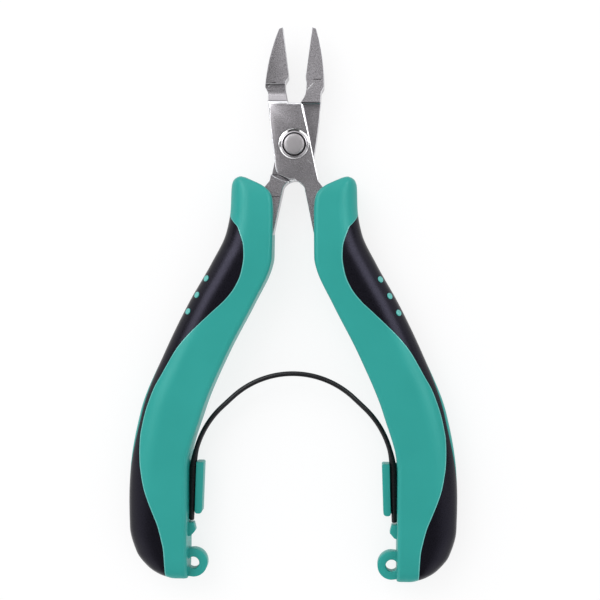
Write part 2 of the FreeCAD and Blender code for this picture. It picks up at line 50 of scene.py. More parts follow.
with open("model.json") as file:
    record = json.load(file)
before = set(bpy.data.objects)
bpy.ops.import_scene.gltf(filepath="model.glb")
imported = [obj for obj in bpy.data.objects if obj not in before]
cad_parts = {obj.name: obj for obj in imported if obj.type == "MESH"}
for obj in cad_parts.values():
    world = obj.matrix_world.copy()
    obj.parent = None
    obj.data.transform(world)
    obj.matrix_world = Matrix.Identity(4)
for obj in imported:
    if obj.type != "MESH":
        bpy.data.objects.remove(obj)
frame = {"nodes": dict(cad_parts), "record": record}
cad_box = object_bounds()
nodes = frame["nodes"]

MM = 0.001
PIVOT = Vector(frame["record"]["behaviour"]["joints"][0]["pos_m"]) / MM
LEFT = "left_side"
RIGHT = "right_side"


# Shader nodes

class Wire:
    """An output of a shader node, which can be added, multiplied and so on."""

    def __init__(self, paint, socket):
        self.paint = paint
        self.socket = socket

    def calc(self, operation, other):
        return self.paint.math(operation, self, other)

    def __add__(self, other):
        return self.calc("ADD", other)

    def __mul__(self, other):
        return self.calc("MULTIPLY", other)

    def __sub__(self, other):
        return self.calc("SUBTRACT", other)

    def __truediv__(self, other):
        return self.calc("DIVIDE", other)

    def __rsub__(self, other):
        return self.paint.math("SUBTRACT", other, self)

    __radd__ = __add__
    __rmul__ = __mul__


class Board:
    """A node tree, of a material or of the room."""

    def __init__(self, tree):
        self.tree = tree

    def feed(self, socket, value):
        if isinstance(value, Wire):
            self.tree.links.new(value.socket, socket)
        elif value is not None:
            socket.default_value = value

    def node(self, kind, inputs, output=0, **settings):
        """Any node: inputs by name or number, settings by attribute name."""
        made = self.tree.nodes.new(kind)
        for label, value in settings.items():
            setattr(made, label, value)
        for label, value in inputs.items():
            self.feed(made.inputs[label], value)
        return Wire(self, made.outputs[output])

    def math(self, operation, first, second=None):
        return self.node("ShaderNodeMath", {0: first, 1: second}, operation=operation)

    def place(self):
        """The point on the object, in metres."""
        return self.node("ShaderNodeTexCoord", {}, output="Object")

    def split(self, vector):
        made = self.node("ShaderNodeSeparateXYZ", {0: vector})
        return [Wire(self, socket) for socket in made.socket.node.outputs]

    def both(self, first, second):
        return self.math("MINIMUM", first, second)

    def either(self, first, second):
        return self.math("MAXIMUM", first, second)

    def stretch(self, vector, scale):
        return self.node("ShaderNodeVectorMath", {0: vector, 1: scale}, operation="MULTIPLY")

    def noise(self, vector, grain_mm, detail):
        return self.node("ShaderNodeTexNoise", {
            "Vector": vector, "Scale": 1 / (grain_mm * MM), "Detail": detail})

    def fade(self, value, low, high, start=0.0, end=1.0):
        return self.node("ShaderNodeMapRange", {
            "Value": value, "From Min": low, "From Max": high, "To Min": start, "To Max": end,
        }, interpolation_type="SMOOTHSTEP")

    def mix(self, factor, first, second):
        return self.node("ShaderNodeMix", {0: factor, 6: first, 7: second}, output=2,
                         data_type="RGBA")

    def bump(self, height, depth_mm, strength=1.0):
        return self.node("ShaderNodeBump", {
            "Height": height, "Distance": depth_mm * MM, "Strength": strength})


class Paint(Board):
    """A material of nodes round one Principled shader."""

    def __init__(self, name, **fixed):
        self.material = bpy.data.materials.new(name)
        self.material.use_nodes = True
        super().__init__(self.material.node_tree)
        self.shader = next(n for n in self.tree.nodes if n.type == "BSDF_PRINCIPLED")
        for label, value in fixed.items():
            self.shader.inputs[label.replace("_", " ")].default_value = value

    def set(self, **wires):
        for label, value in wires.items():
            self.feed(self.shader.inputs[label.replace("_", " ")], value)
        return self.material


def linear(red, green, blue):
    """A colour from its 0 to 255 display values."""
    def one(value):
        value /= 255
        return value / 12.92 if value <= 0.04045 else ((value + 0.055) / 1.055) ** 2.4
    return (one(red), one(green), one(blue), 1.0)


def near_line(paint, place, start, end, width):
    """1 on the line between two (x, y) places in millimetres about the pivot, 0 beside it."""
    a, b = ((PIVOT.xy + Vector(spot)) * MM for spot in (start, end))
    x, y = paint.split(place)[:2]
    run = b - a
    along = ((x - a.x) * run.x + (y - a.y) * run.y) * (1 / run.length_squared)
    along = paint.node("ShaderNodeClamp", {0: along})
    off_x = x - a.x - along * run.x
    off_y = y - a.y - along * run.y
    off = paint.math("SQRT", off_x * off_x + off_y * off_y)
    return paint.fade(off, 0.35 * width * MM, width * MM, 1.0, 0.0)


# Each mark is (start, end, width), with its ends as (x, y) about the pivot
# Painted shade: dark lines along the steps and gaps of the forgings, the widest a dark patch at
# the left jaw's root
STEP_SHADE_LINES = [((-6.1, -7.15), (-4.1, -7.1), 0.16), ((-5.2, -12.5), (-3.4, -12.5), 0.13),
                 ((4.6, 15.35), (6.2, 15.3), 0.17), ((-6.2, 14.2), (-4.7, 14.6), 0.3)]
# Pale streaks: the first two are painted highlights along facet edges at the jaws' roots, the
# other two are short pale marks by the pivot
PALE_STREAKS = [((2.3, 12.0), (4.4, 14.4), 0.13), ((-6.2, 13.7), (-5.4, 14.4), 0.15),
             ((-2.6, 1.2), (-1.9, 1.35), 0.07), ((3.3, -3.9), (4.1, -4.6), 0.07)]


def satin_steel():
    paint = Paint("satin_steel", Metallic=1.0)
    place = paint.place()
    grain = paint.noise(place, 0.16, 3)
    cloud = paint.noise(place, 6.0, 2)
    brushed = paint.noise(paint.stretch(place, (1.0, 0.08, 1.0)), 0.12, 2)
    colour = paint.mix(cloud, linear(155, 152, 156), linear(176, 173, 177))
    colour = paint.mix(paint.fade(grain, 0.35, 0.75, 0.0, 0.35), colour, linear(124, 121, 125))
    broken = paint.fade(paint.noise(place, 0.5, 2), 0.4, 0.55)
    # Painted shade along the steps and gaps of the forgings
    for start, end, width in STEP_SHADE_LINES:
        line = near_line(paint, place, start, end, width)
        colour = paint.mix(line * (0.55 + 0.4 * broken), colour, linear(48, 46, 50))
    # Pale streaks, two of them painted highlights along facet edges
    for start, end, width in PALE_STREAKS:
        line = near_line(paint, place, start, end, width)
        colour = paint.mix(line * (0.3 + 0.7 * broken), colour, linear(240, 240, 242))
    return paint.set(
        Base_Color=colour,
        Roughness=paint.fade(grain, 0.3, 0.7, 0.22, 0.34),
        Normal=paint.bump(grain * 0.6 + brushed * 0.4, 0.006, 0.5))


def bevel_highlight():
    """A lighter steel for the bevels of the forgings: a painted highlight along the edges, dimmer
    in patches.
    """
    paint = Paint("bevel_highlight", Metallic=1.0)
    place = paint.place()
    grain = paint.noise(place, 0.2, 3)
    patches = paint.noise(place, 2.4, 2)
    dimmer_patches = paint.fade(patches, 0.62, 0.74, 0.0, 0.6)
    bright = paint.mix(grain, linear(214, 214, 218), linear(236, 236, 239))
    return paint.set(
        Base_Color=paint.mix(dimmer_patches, bright, linear(176, 173, 178)),
        Roughness=paint.fade(grain, 0.3, 0.7, 0.18, 0.30))


def pin_steel():
    paint = Paint("pin_steel", Metallic=1.0)
    place = paint.place()
    grain = paint.noise(place, 0.2, 3)
    return paint.set(
        Base_Color=paint.mix(grain, linear(172, 169, 172), linear(190, 187, 190)),
        Roughness=paint.fade(grain, 0.3, 0.7, 0.28, 0.38),
        Normal=paint.bump(grain, 0.004, 0.4))


def polished_steel():
    paint = Paint("polished_steel", Metallic=1.0)
    place = paint.place()
    grain = paint.noise(place, 0.3, 2)
    return paint.set(
        Base_Color=paint.mix(grain, linear(232, 232, 234), linear(244, 244, 246)),
        Roughness=paint.fade(grain, 0.3, 0.7, 0.08, 0.14))


def green_plastic():
    paint = Paint("green_plastic", Specular_IOR_Level=0.3)
    place = paint.place()
    cloud = paint.noise(place, 14.0, 2)
    grain = paint.noise(place, 0.22, 2)
    colour = paint.mix(cloud, linear(30, 146, 138), linear(41, 157, 150))
    return paint.set(
        Base_Color=colour,
        Roughness=paint.fade(grain, 0.3, 0.7, 0.34, 0.46),
        Normal=paint.bump(grain, 0.012, 0.5))


def green_highlight():
    """A lighter, glossier green: a painted highlight along the green's edge at the colour line and
    round the studs' rims.
    """
    paint = Paint("green_highlight", Specular_IOR_Level=0.5)
    grain = paint.noise(paint.place(), 0.6, 2)
    return paint.set(
        Base_Color=paint.mix(grain, linear(74, 170, 164), linear(104, 188, 182)),
        Roughness=paint.fade(grain, 0.3, 0.7, 0.25, 0.4))


def black_rubber():
    paint = Paint("black_rubber", Specular_IOR_Level=0.22, Specular_Tint=linear(222, 218, 255))
    place = paint.place()
    cloud = paint.noise(place, 9.0, 2)
    grain = paint.noise(place, 0.25, 3)
    return paint.set(
        Base_Color=paint.mix(cloud, linear(4, 4, 6), linear(9, 8, 12)),
        Roughness=paint.fade(grain, 0.3, 0.7, 0.26, 0.36),
        Normal=paint.bump(grain, 0.02, 0.6))


def gap_shade():
    """The dark bottom of the gap round the button: painted shade."""
    paint = Paint("gap_shade", Specular_IOR_Level=0.25)
    grain = paint.noise(paint.place(), 0.3, 3)
    return paint.set(
        Base_Color=paint.mix(grain, linear(12, 12, 14), linear(24, 23, 25)),
        Roughness=paint.fade(grain, 0.3, 0.7, 0.5, 0.7))


def black_wire():
    paint = Paint("black_wire", Metallic=0.6)
    place = paint.place()
    grain = paint.noise(place, 0.4, 3)
    return paint.set(
        Base_Color=paint.mix(grain, linear(26, 26, 28), linear(40, 40, 43)),
        Roughness=paint.fade(grain, 0.3, 0.7, 0.26, 0.40))


MATERIALS = {
    "satin_steel": satin_steel(),
    "pin_steel": pin_steel(),
    "polished_steel": polished_steel(),
    "green_plastic": green_plastic(),
    "black_rubber": black_rubber(),
    "black_wire": black_wire(),
    "bevel_highlight": bevel_highlight(),
    "green_highlight": green_highlight(),
    "gap_shade": gap_shade(),
}

SLOTS = {
    "front_half": "satin_steel",
    "back_half": "satin_steel",
    "pivot_pin": "pin_steel",
    "pivot_ring": "polished_steel",
    "right_grip_core": "green_plastic",
    "left_grip_core": "green_plastic",
    "right_grip_pad": "black_rubber",
    "left_grip_pad": "black_rubber",
    "return_spring": "black_wire",
}


for name, slot in SLOTS.items():
    nodes[name].data.materials.clear()
    nodes[name].data.materials.append(MATERIALS[slot])


# Meshes

SAME_POINT, SAME_CORNER = 0.004, 0.002
FLAT_WITHIN, SMOOTH_UP_TO = math.radians(0.5), math.radians(24)


def new_piece(name, slot, body=None):
    """An empty piece of the object, which rides on the body if one is given."""
    mesh = bpy.data.meshes.new(name)
    obj = bpy.data.objects.new(name, mesh)
    bpy.context.scene.collection.objects.link(obj)
    mesh.materials.append(MATERIALS[slot])
    if body:
        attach(obj, body)
    return obj


def turns(count):
    """The angles of a full circle in equal steps."""
    return [2 * math.pi * step / count for step in range(count)]


def skin(obj, rings, cap=True, pale=(), crease=50):
    """Quads over closed rings of points; the pale columns take the piece's second material, a
    painted highlight.

    Points that coincide are merged, and edges sharper than the crease angle stay sharp."""
    work = bmesh.new()
    made = [[work.verts.new(point * MM) for point in ring] for ring in rings]
    for first, second in zip(made, made[1:]):
        for number in range(len(first)):
            face = work.faces.new((first[number - 1], first[number],
                                   second[number], second[number - 1]))
            face.material_index = 1 if number in pale else 0
    if cap:
        work.faces.new(made[0])
        work.faces.new(list(reversed(made[-1])))
    bmesh.ops.remove_doubles(work, verts=work.verts, dist=SAME_POINT * MM)
    bmesh.ops.recalc_face_normals(work, faces=work.faces)
    for face in work.faces:
        face.smooth = True
    work.to_mesh(obj.data)
    work.free()
    obj.data.set_sharp_from_angle(angle=math.radians(crease))


def arc(start, via, end, count):
    """Points after the start up to the end, on the circle through three points."""
    (ax, ay), (bx, by), (cx, cy) = start, via, end
    scale = 2 * (ax * (by - cy) + bx * (cy - ay) + cx * (ay - by))
    a, b, c = ax * ax + ay * ay, bx * bx + by * by, cx * cx + cy * cy
    x = (a * (by - cy) + b * (cy - ay) + c * (ay - by)) / scale
    y = (a * (cx - bx) + b * (ax - cx) + c * (bx - ax)) / scale
    radius = math.hypot(ax - x, ay - y)
    first, middle, last = (math.atan2(q - y, p - x) for p, q in (start, via, end))
    turn = (last - first) % (2 * math.pi)
    if (middle - first) % (2 * math.pi) > turn:
        turn -= 2 * math.pi
    return [(x + radius * math.cos(first + turn * step / count),
             y + radius * math.sin(first + turn * step / count)) for step in range(1, count + 1)]


def loop(steps, count=8):
    """A closed outline of (x, y) points, and (x, y, via x, via y) for an arc to a point."""
    points = [steps[-1][:2]]
    for step in steps:
        if len(step) == 4:
            points += arc(points[-1], step[2:], step[:2], count)
        else:
            points.append(step)
    return points[1:]


def prism(outline, low, high, place):
    """A mesh through the outline from low to high; place puts (u, v, w) in the model."""
    work = bmesh.new()
    bottom = [work.verts.new(place(u, v, low)) for u, v in outline]
    top = [work.verts.new(place(u, v, high)) for u, v in outline]
    work.faces.new(bottom)
    work.faces.new(list(reversed(top)))
    for number in range(len(outline)):
        work.faces.new((bottom[number - 1], top[number - 1], top[number], bottom[number]))
    bmesh.ops.recalc_face_normals(work, faces=work.faces)
    mesh = bpy.data.meshes.new("prism")
    work.to_mesh(mesh)
    work.free()
    return mesh


def carve(obj, cutters):
    """Cuts the meshes out of the object and keeps the result as its own mesh."""
    helpers = []
    for mesh in cutters:
        helper = bpy.data.objects.new("cutter", mesh)
        bpy.context.scene.collection.objects.link(helper)
        cut = obj.modifiers.new("cut", "BOOLEAN")
        cut.object = helper
        cut.operation = "DIFFERENCE"
        cut.solver = "EXACT"
        helpers.append(helper)
    bpy.context.view_layer.update()
    graph = bpy.context.evaluated_depsgraph_get()
    cut_mesh = bpy.data.meshes.new_from_object(obj.evaluated_get(graph))
    obj.modifiers.clear()
    obj.data = cut_mesh
    for helper in helpers:
        bpy.data.objects.remove(helper)


def ease_edges(obj, rules, corner=22):
    """Bevels corners by (test of the edge's two ends about the pivot, width, segments, finish)."""
    work = bmesh.new()
    work.from_mesh(obj.data)
    bmesh.ops.remove_doubles(work, verts=work.verts, dist=SAME_CORNER * MM)
    bmesh.ops.dissolve_limit(work, angle_limit=FLAT_WITHIN, verts=work.verts,
                             edges=work.edges)
    for test, width, segments, finish in rules:
        chosen = [edge for edge in work.edges
                  if len(edge.link_faces) == 2
                  and edge.calc_face_angle(0) > math.radians(corner)
                  and test(*[vert.co / MM - PIVOT for vert in edge.verts])]
        bmesh.ops.bevel(work, geom=chosen, offset=width * MM, offset_type="OFFSET",
                        segments=segments, profile=0.5, affect="EDGES", clamp_overlap=False,
                        material=finish)
    for face in work.faces:
        face.smooth = True
    work.to_mesh(obj.data)
    work.free()
    obj.data.set_sharp_from_angle(angle=SMOOTH_UP_TO)


# Steel halves

# Half the joint's thickness, and the gap between its plates
LAP, LAP_GAP = 3.2, 0.04
# Half the opening of the jaws, where their faces begin and end, and how far off the pivot
# they meet
HALF_ANGLE = math.radians(7.1)
FACE_START, FACE_END, MEETING = 16.1, 27.2, 0.63
SHOULDER, RECESS = 9.95, 9.05
RUNNING_BORE, PRESS_BORE = 2.53, 2.5
CUP_RADIUS, CUP_DEPTH, CUP_CLEAR = 3.75, 0.9, 4.2
PLATE_BEVEL, LEFT_BEVEL, FINE_BEVEL = 0.42, 0.2, 0.1
# How far a cutter runs past the steel, over its thickness and across its width
OVERSHOOT, CUTTER_HALF = 1.0, 20


def half_outline(shift):
    """The forging's outline about the pivot: jaw at -X, tang at +X."""
    face = shift - 0.05

    def on_face(run):
        return (face * math.cos(HALF_ANGLE) - run * math.sin(HALF_ANGLE),
                face * math.sin(HALF_ANGLE) + run * math.cos(HALF_ANGLE))

    low, high = on_face(FACE_START), on_face(FACE_END)
    throat = -2.55 + shift / 2
    plate_top = SHOULDER - 0.1
    return loop([
        high, (high[0] - 0.06, 27.9), (high[0] - 1.01, 27.55),
        (-7.05, 13.5, -6.2 + shift / 2, 21.0),
        (-6.35, 12.2), (-4.75, -2.4, -5.75, 5.0),
        (-4.45, -5.4), (-3.6, -7.3, -4.25, -6.35),
        (-0.9, -8.75), (2.55, -10.4, 1.8, -9.4), (5.6, -25.0, 3.75, -16.0),
        (8.0, -30.0), (12.6, -28.0), (11.2, -25.0), (9.4, -13.2), (5.8, -8.7),
        (2.25, plate_top - 1.1), (1.15, plate_top, 1.975, plate_top - 0.275),
        (-1.5, plate_top), (throat, 13.4, throat + 0.35, 11.5), (throat, 14.6), low,
    ])


def steel_half(name, body, shift, turned, bore):
    """A forging; shift is how far its closing plane lies off the pivot."""
    side = -1 if turned else 1

    def flat(u, v, w):
        return (PIVOT + Vector((side * u, v, side * w))) * MM

    def along(u, v, w):
        return (PIVOT + Vector((w, u, side * v))) * MM

    obj = new_piece(name + "_ground", "satin_steel", body)
    obj.data = prism(half_outline(shift), -LAP, LAP, flat)
    obj.data.materials.append(MATERIALS["satin_steel"])
    recess = loop([(RECESS, SHOULDER), (-RECESS, SHOULDER), (-RECESS, 0),
                   (RECESS, 0, 0, -RECESS)], 32)
    cutters = [prism(recess, LAP_GAP / 2 - 2 * LAP, LAP_GAP / 2, flat)]
    front = loop([(9.9, 9), (9.9, 3.2), (13.1, 2.05, 10.95, 2.38),
                  (14.3, 2.4, 13.8, 2.12), (29, 1.4), (29, 9)])
    back = [(10.0, -9), (10.0, -3.1), (13.6, -2.75), (29, -1.4), (29, -9)]
    cutters += [prism(front, -CUTTER_HALF, CUTTER_HALF, along),
                prism(back, -CUTTER_HALF, CUTTER_HALF, along)]
    for radius, low in ((CUP_RADIUS, LAP - CUP_DEPTH), (bore, -LAP - OVERSHOOT)):
        circle = [(radius * math.cos(turn), radius * math.sin(turn)) for turn in turns(96)]
        cutters.append(prism(circle, low, LAP + OVERSHOOT, flat))
    carve(obj, cutters)

    def on_plate(a, b):
        return (min(a.z * side, b.z * side) > LAP - 0.02
                and min(a.xy.length, b.xy.length) > CUP_CLEAR
                and -8.9 < min(a.y, b.y) and max(a.y, b.y) < 10.3)

    def on_left(a, b):
        return max(a.x * side, b.x * side) < -3.0 and max(a.y, b.y) < 9.0

    def in_cup(a, b):
        return max(a.xy.length, b.xy.length) < CUP_CLEAR

    def outside_grip(a, b):
        return not in_cup(a, b) and max(a.y, b.y) > -24

    # The bevels take the lighter steel, a painted highlight along the edges
    obj.data.materials.append(MATERIALS["bevel_highlight"])
    ease_edges(obj, [(lambda a, b: on_plate(a, b) and not on_left(a, b), PLATE_BEVEL, 2, 1),
                     (lambda a, b: on_plate(a, b) and on_left(a, b), LEFT_BEVEL, 2, 1),
                     (outside_grip, FINE_BEVEL, 1, 1)])
    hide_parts(name)


def lathe(name, slot, steps, dark=()):
    """A turned piece on the pivot axis from (radius, height) steps; faces between the dark radii
    take painted shade.
    """
    rings = [[PIVOT + Vector((radius * math.cos(turn), radius * math.sin(turn), height))
              for turn in turns(128)] for radius, height in steps]
    obj = new_piece(name, slot, LEFT)
    skin(obj, rings, cap=False, crease=20)
    if dark:
        obj.data.materials.append(MATERIALS["gap_shade"])
        for face in obj.data.polygons:
            middle = face.center / MM - PIVOT
            face.material_index = int(dark[0] < middle.xy.length < dark[1] and middle.z > 0)
    return obj


def pivot():
    button = lathe("pivot_button", "pin_steel", [
        (0.001, 3.35), (1.4, 3.345), (2.1, 3.32), (2.25, 3.29), (2.36, 3.2), (2.46, 3.04),
        (2.48, 2.9), (2.48, 2.34), (2.48, -2.28), (3.69, -2.3), (3.69, -2.9), (3.6, -3.08),
        (3.42, -3.17), (3.2, -3.2), (0.001, -3.2)])
    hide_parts("pivot_pin")
    # The ring's floor inside the gap round the button takes painted shade
    ring = lathe("dished_ring", "polished_steel", [
        (2.5, 2.37), (2.5, 2.42), (2.8, 2.42), (2.8, 2.6), (2.84, 2.66), (3.1, 2.83),
        (3.36, 3.02), (3.51, 3.13), (3.55, 3.165), (3.6, 3.15), (3.62, 3.1), (3.62, 2.37),
        (2.5, 2.37)], dark=(2.49, 2.8))
    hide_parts("pivot_ring")


steel_half("front_half", RIGHT, MEETING, False, RUNNING_BORE)
steel_half("back_half", LEFT, -MEETING, True, PRESS_BORE)


# Grips

# Each table is (drop below the pivot, value): how far out the grip's inner and outer edges and
# its colour line run, and half its thickness
INNER = [(7.7, 12.4), (7.9, 11.6), (8.3, 10.7), (8.66, 9.9), (9.8, 7.55), (10.8, 6.25),
         (11.8, 5.45), (13.5, 5.0), (16, 4.85), (21, 4.9), (27.0, 5.0), (29.5, 5.5), (38, 9.5),
         (50, 15.7), (64, 21.6), (78, 25.1), (92, 25.1), (104.1, 25.1)]
OUTER = [(7.7, 13.2), (7.9, 13.8), (8.66, 14.6), (10.1, 15.0), (15.4, 15.2), (21, 16.2),
         (28.5, 19.8), (38, 25.2), (50, 31.0), (64, 36.7), (78, 39.15), (85, 39.45), (92, 39.3),
         (98, 37.7), (101.6, 34.9), (103.3, 32.4), (104.1, 30.3)]
HALF = [(7.7, 2.9), (8.1, 3.8), (9.3, 4.6), (12, 5.15), (16, 5.4), (21, 5.6), (28.5, 5.78),
        (38, 5.8), (92, 5.8), (98, 5.6), (101.6, 5.1), (103.3, 4.3), (104.1, 3.4)]
COLOUR_LINE = [
    (15.6, 15.6), (17.6, 14.2), (21.2, 12.7), (24.3, 11.8), (26.6, 11.7), (30.6, 12.3),
    (34.1, 13.8), (37.0, 16.0), (40.0, 19.2), (43.0, 22.4), (46.0, 25.4), (49.0, 27.8),
    (52.0, 29.6), (55.2, 31.4), (58.0, 33.0), (61.0, 34.2), (64.0, 35.2), (67.0, 35.9),
    (70.0, 36.4), (73.0, 36.5), (76.0, 36.4), (79.0, 36.0), (82.0, 35.4), (85.0, 34.4),
    (88.0, 33.2), (91.0, 32.0), (94.0, 31.2), (97.0, 30.6), (100.0, 30.4), (106.0, 30.2)]
LINE_START = COLOUR_LINE[0][0]
GRIP_END = OUTER[-1][0]
# The green window in the overmould's spine, and the pointed tip of the overmould
SPINE_TOP, SPINE_LENGTH, SPINE_HALF = 46.0, 41.0, 3.3
TIP_LENGTH = 4.0
EDGE_INNER, EDGE_WIDE, EDGE_DEEP = 1.0, 6.4, 4.6
# The overmould's depth in the green, how much deeper it runs under the spine, how far it is set
# back at the grip's end, the rounded edges along the colour line, and the width of the painted
# highlight strip on the green beside it
SUNK, UNDER_SPINE, SET_BACK = 0.35, 0.15, 0.05
LIP, BLACK_LIP, GREEN_LIP, PALE_WIDTH = 0.09, 0.08, 0.07, 0.26
# Steps of a half section: up the inner flank, each corner, the face and the outer flank
INNER_STEPS, FACE_STEPS, EDGE_STEPS, OUTER_STEPS = 12, 60, 40, 20
# Steps of a half ring: the green up to the colour line, and the black past it
GREEN_STEPS, BLACK_STEPS = 40, 18
# The column of the painted highlight strip on the green, just outside the colour line
PALE_COLUMN = GREEN_STEPS + 1


def curve(table, at):
    """A smooth value between the (position, value) pairs, with no overshoot."""
    if at <= table[0][0]:
        return table[0][1]
    if at > table[-1][0]:
        return table[-1][1]
    number = next(index for index in range(1, len(table)) if at <= table[index][0])

    def secant(index):
        (x0, y0), (x1, y1) = table[index - 1], table[index]
        return (y1 - y0) / (x1 - x0)

    def slope(index):
        if index in (0, len(table) - 1):
            return secant(max(index, 1))
        before, after = secant(index), secant(index + 1)
        return 0.0 if before * after <= 0 else 2 * before * after / (before + after)

    (x0, y0), (x1, y1) = table[number - 1], table[number]
    width = x1 - x0
    t = (at - x0) / width
    rest = 1 - t
    return (rest ** 2 * ((1 + 2 * t) * y0 + t * width * slope(number - 1))
            + t ** 2 * ((3 - 2 * t) * y1 - rest * width * slope(number)))


def outer_edge(inner, outer, half):
    """How far the rounding of the outer edge reaches in, and down."""
    return min(EDGE_WIDE, 0.5 * (outer - inner)), min(EDGE_DEEP, 0.8 * half)


def under_skin(spot):
    """Whether a point about the pivot lies inside the right grip's outer half."""
    drop = -spot.y
    inner, outer, half = curve(INNER, drop), curve(OUTER, drop), curve(HALF, drop)
    wide, deep = outer_edge(inner, outer, half)
    past = (spot.x - outer + wide) / wide
    if past >= 1:
        return False
    return abs(spot.z) < half - deep + deep * math.sqrt(1 - max(past, 0.0) ** 2)


def profile(drop):
    """Half a section, from the middle of the inner edge to that of the outer, as points
    (x, z), inward normals, and the length up to each point."""
    inner, outer, half = curve(INNER, drop), curve(OUTER, drop), curve(HALF, drop)
    small = min(EDGE_INNER, 0.4 * (outer - inner), 0.5 * half)
    wide, deep = outer_edge(inner, outer, half)
    points = [(inner, (half - small) * step / INNER_STEPS, 1.0, 0.0)
              for step in range(INNER_STEPS)]
    for step in range(INNER_STEPS):
        turn = math.pi / 2 * step / INNER_STEPS
        points.append((inner + small * (1 - math.cos(turn)),
                       half - small + small * math.sin(turn), math.cos(turn), -math.sin(turn)))
    for step in range(FACE_STEPS):
        run = (outer - wide - inner - small) * step / FACE_STEPS
        points.append((inner + small + run, half, 0.0, -1.0))
    for step in range(EDGE_STEPS):
        turn = math.pi / 2 * step / EDGE_STEPS
        inward = Vector((-math.sin(turn) / wide, -math.cos(turn) / deep)).normalized()
        points.append((outer - wide + wide * math.sin(turn),
                       half - deep + deep * math.cos(turn), inward.x, inward.y))
    points += [(outer, (half - deep) * (1 - step / OUTER_STEPS), -1.0, 0.0)
               for step in range(OUTER_STEPS + 1)]
    lengths = [0.0]
    for first, second in zip(points, points[1:]):
        lengths.append(lengths[-1] + math.hypot(second[0] - first[0], second[1] - first[1]))
    return points, lengths


def on_profile(points, lengths, run, depth):
    """The point at a length along the half section, sunk below its surface."""
    run = min(max(run, 0.0), lengths[-1])
    number = next(index for index in range(1, len(lengths)) if run <= lengths[index])
    span = lengths[number] - lengths[number - 1]
    t = (run - lengths[number - 1]) / span if span else 0.0
    x, z, nx, nz = (a + (b - a) * t for a, b in zip(points[number - 1], points[number]))
    return x + nx * depth, z + nz * depth


def marks(drop):
    """Where the colour line and the edge of the spine lie on the half section."""
    points, lengths = profile(drop)
    line = curve(COLOUR_LINE, drop) if drop > LINE_START else points[-1][0] + 1
    full = lengths[-1]
    index = next((number for number, point in enumerate(points) if point[0] >= line),
                 len(points) - 1)
    start = lengths[index]
    if 0 < start < full:
        before, after = points[index - 1][0], points[index][0]
        if after > before:
            share = (line - before) / (after - before)
            start = lengths[index - 1] + share * (start - lengths[index - 1])
    opened = min(max((drop - LINE_START) / TIP_LENGTH, 0.0), 1.0)
    start = full + (start - full) * opened ** 0.5
    along = (drop - SPINE_TOP) / SPINE_LENGTH
    window = SPINE_HALF * 4 * along * (1 - along) if 0 < along < 1 else 0.0
    end = max(full - window, start)
    return points, lengths, start, end


def grip_ring(drop, mirror, pad):
    """One ring of the green body, or of the black overmould over it.

    A spot is (length along the half section, depth under the skin), and every ring of a piece
    has as many spots, with or without the spine's window."""
    points, lengths, start, end = marks(drop)
    full = lengths[-1]
    width = end - start
    sunk = min(SUNK, width * 0.6)
    lip = min(LIP, width * 0.3)
    has_window = end < full - 0.05
    if pad:
        spots = [(start + 0.2 * lip, sunk * 0.9), (start + 0.4 * lip, BLACK_LIP * sunk / SUNK)]
        spots += [(start + lip + (width - 2 * lip) * (step / BLACK_STEPS), 0.0)
                  for step in range(BLACK_STEPS + 1)]
        if has_window:
            spots += [(end - 0.4 * lip, BLACK_LIP), (end - 0.2 * lip, sunk * 0.9)]
            spots += [(end + (full - end) * step / 4, sunk + UNDER_SPINE) for step in range(5)]
        else:
            spots += [(full, 0.0)] * 7
    else:
        spots = [(start * step / GREEN_STEPS, 0.0) for step in range(GREEN_STEPS)]
        spots += [(start - min(PALE_WIDTH, 0.5 * width), 0.0), (start - 0.1 * lip, 0.0),
                  (start, min(GREEN_LIP, 0.3 * sunk)), (start, sunk)]
        spots += [(start + width * step / 14, sunk) for step in range(1, 14)]
        if has_window:
            spots += [(end, sunk), (end, GREEN_LIP), (end + 0.1, 0.0)]
            spots += [(end + 0.1 + (full - end - 0.1) * step / 5, 0.0) for step in range(1, 6)]
        else:
            spots += [(full, sunk)] * 8
    half = [on_profile(points, lengths, run, depth) for run, depth in spots]
    ring = half + [(x, -z) for x, z in reversed(half)]
    return [PIVOT + Vector((mirror * x, -drop, z)) for x, z in ring]


def drops(low, high, pitch):
    """Evenly spaced places for rings, about a pitch apart."""
    count = max(2, round((high - low) / pitch))
    return [low + (high - low) * step / count for step in range(count + 1)]


def grip(name, body, mirror):
    """The green body and the black overmould, in rings that crowd at the rounded ends."""
    head = [7.7, 7.75, 7.82, 7.9, 8.0, 8.15, 8.3, 8.5]
    tail = [102.6, 103.0, 103.3, 103.6, 103.8, 103.93]
    places = head + drops(8.7, 102.3, 0.45) + tail
    core = new_piece(name + "_grip_body", "green_plastic", body)
    # The second material paints a highlight along the colour line
    core.data.materials.append(MATERIALS["green_highlight"])
    rings = [grip_ring(drop, mirror, False) for drop in places + [GRIP_END]]
    skin(core, rings, pale=(PALE_COLUMN, len(rings[0]) - PALE_COLUMN))
    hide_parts(name + "_grip_core")
    over = new_piece(name + "_grip_overmould", "black_rubber", body)
    places = [drop for drop in places if drop > LINE_START + 0.1]
    skin(over, [grip_ring(drop, mirror, True) for drop in places + [GRIP_END - SET_BACK]])
    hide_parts(name + "_grip_pad")


STUD_SLOPE, STUD_TILT, STUD_PITCH = math.radians(28.5), math.radians(40), 4.5
STUD_FIRST, STUD_HALF_GAP = (17.7, 33.7), 0.93
# (radius, rise over the skin), from the foot to the dished top
STUD_FORM = [(0.78, -0.9), (0.78, 0.06), (0.74, 0.17), (0.62, 0.25), (0.5, 0.27), (0.46, 0.23),
             (0.2, 0.23)]
# The band of rise that takes the painted highlight round each stud's rim
STUD_PALE = (0.08, 0.265)


